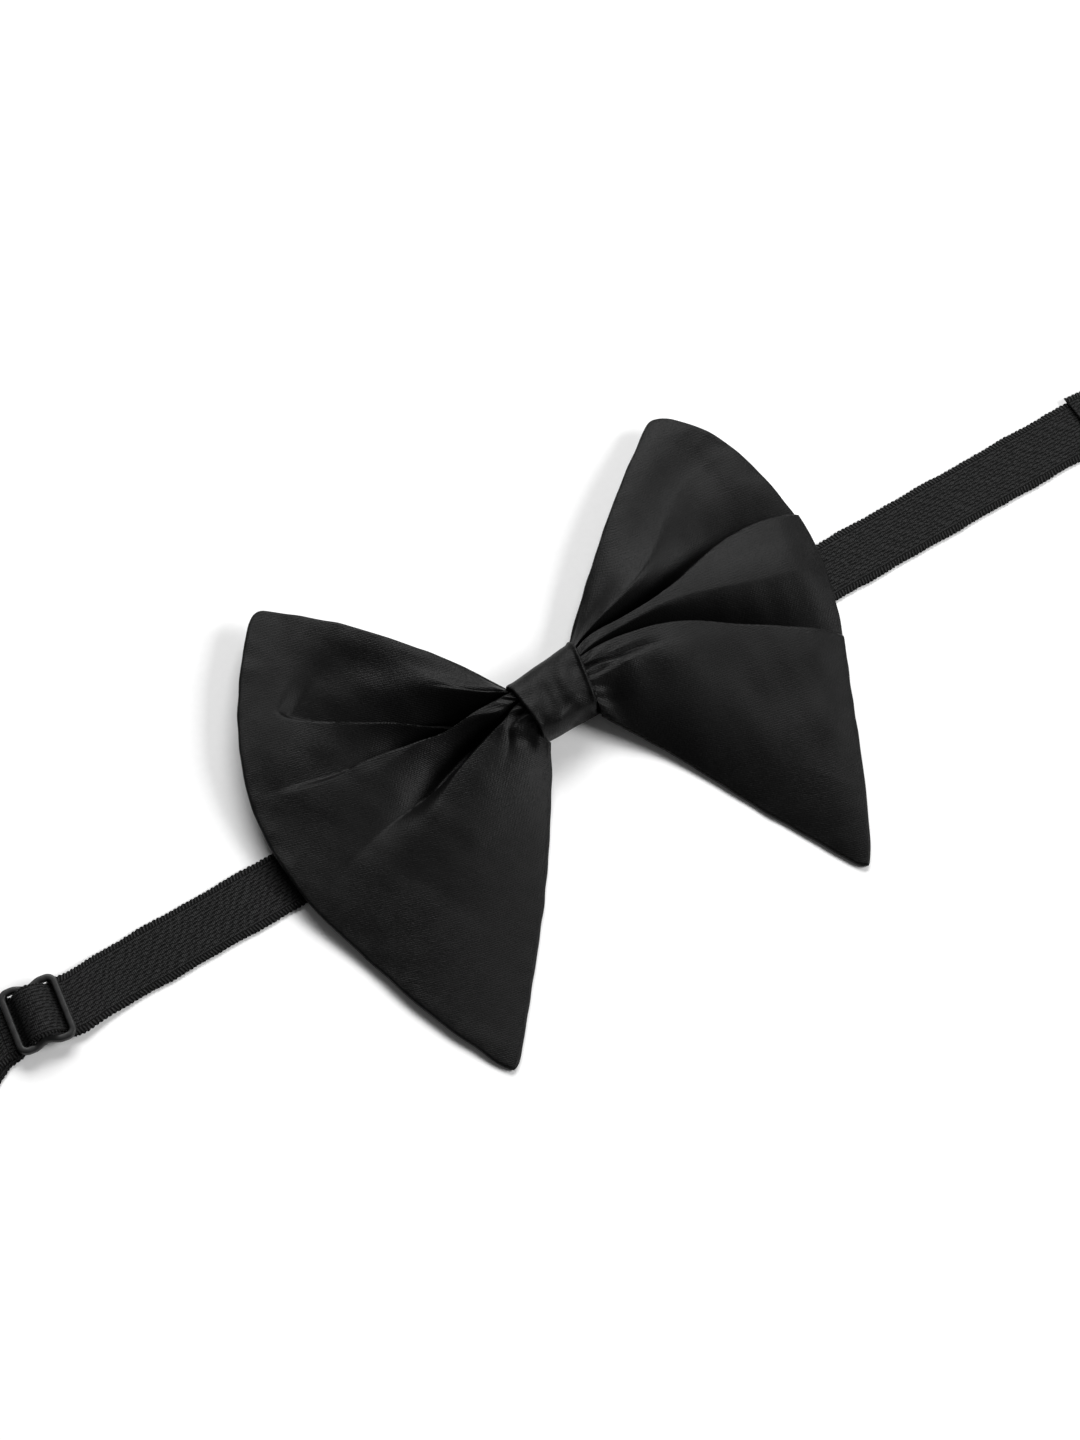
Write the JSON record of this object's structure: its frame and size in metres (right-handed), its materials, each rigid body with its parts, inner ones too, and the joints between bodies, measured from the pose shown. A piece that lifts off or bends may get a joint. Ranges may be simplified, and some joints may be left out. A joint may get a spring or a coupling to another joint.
{
  "type": "bow tie",
  "caption": "Pre-tied droopy satin bow tie with gathered wings, a wrapped knot and an adjustable elastic neck band with slider, hook and ring.",
  "frame": {"origin": "centre of the neck band on the back face of the knot", "axes": "+X along the neck band towards the ring end, +Y towards the short wing tips, +Z out of the front of the bow"},
  "size_m": [0.4084, 0.1295, 0.013],
  "materials": {
    "satin": "soft satin-weave cotton",
    "interlining": "plain woven interlining",
    "thread": "twisted sewing thread",
    "elastic": "ribbed elastic with picot edges",
    "coated_wire": "semi-gloss black coating",
    "hook_metal": "semi-gloss black coating"
  },
  "bodies": {
    "bow": {"waist_core": "satin", "gather_thread": "thread", "knot_wrap": "satin", "knot_lining": "interlining", "knot_stitches": "thread", "band_centre": "elastic", "pleats_left": "satin", "pleats_right": "satin"},
    "wing_left": {"wing_left_front": "satin", "wing_left_interlining": "interlining", "wing_left_back": "satin"},
    "wing_right": {"wing_right_front": "satin", "wing_right_interlining": "interlining", "wing_right_back": "satin"},
    "strap_left": {"band_left": "elastic", "band_left_run": "elastic"},
    "slider": {"slider": "coated_wire", "band_hump": "elastic", "slider_end_fold": "elastic", "slider_bartack": "thread"},
    "loop_end": {"band_loop_upper": "elastic", "band_loop_lower": "elastic", "band_loop_turn": "elastic"},
    "hook": {"hook": "hook_metal"},
    "strap_right": {"band_right": "elastic", "band_right_fold": "elastic", "ring_bartack": "thread"},
    "ring": {"ring": "hook_metal"}
  },
  "joints": [
    {"name": "wing_left_flex", "type": "hinge", "parent": "bow", "child": "wing_left", "pos_m": [-0.0095, 0, 0.0045], "axis": [0, 1, 0], "range_deg": [0, 30], "deforming": ["pleats_left"]},
    {"name": "wing_right_flex", "type": "hinge", "parent": "bow", "child": "wing_right", "pos_m": [0.008, 0, 0.0045], "axis": [0, -1, 0], "range_deg": [0, 30], "deforming": ["pleats_right"]},
    {"name": "band_left_fold", "type": "hinge", "parent": "bow", "child": "strap_left", "pos_m": [-0.0093, 0, 0.00125], "axis": [0, -1, 0], "range_deg": [0, 90]},
    {"name": "band_right_fold_back", "type": "hinge", "parent": "bow", "child": "strap_right", "pos_m": [0.0078, 0, 0.00125], "axis": [0, 1, 0], "range_deg": [0, 90]},
    {"name": "slider_slide", "type": "slide", "parent": "strap_left", "child": "slider", "axis": [1, 0, 0], "range_m": [-0.06, 0.035], "deforming": ["band_left_run"]},
    {"name": "loop_slide", "type": "slide", "parent": "slider", "child": "loop_end", "axis": [1, 0, 0], "range_m": [-0.0175, 0.03], "deforming": ["band_loop_upper", "band_loop_lower"]},
    {"name": "hook_turn", "type": "hinge", "parent": "loop_end", "child": "hook", "pos_m": [-0.212, 0, 0.00195], "axis": [0, 1, 0], "range_deg": [-100, 100]},
    {"name": "ring_turn", "type": "hinge", "parent": "strap_right", "child": "ring", "pos_m": [0.172, 0, 0.00195], "axis": [0, 1, 0], "range_deg": [-100, 100]}
  ],
  "couplings": [
    {"joint": "loop_slide", "follows": "slider_slide", "ratio": -0.5}
  ]
}
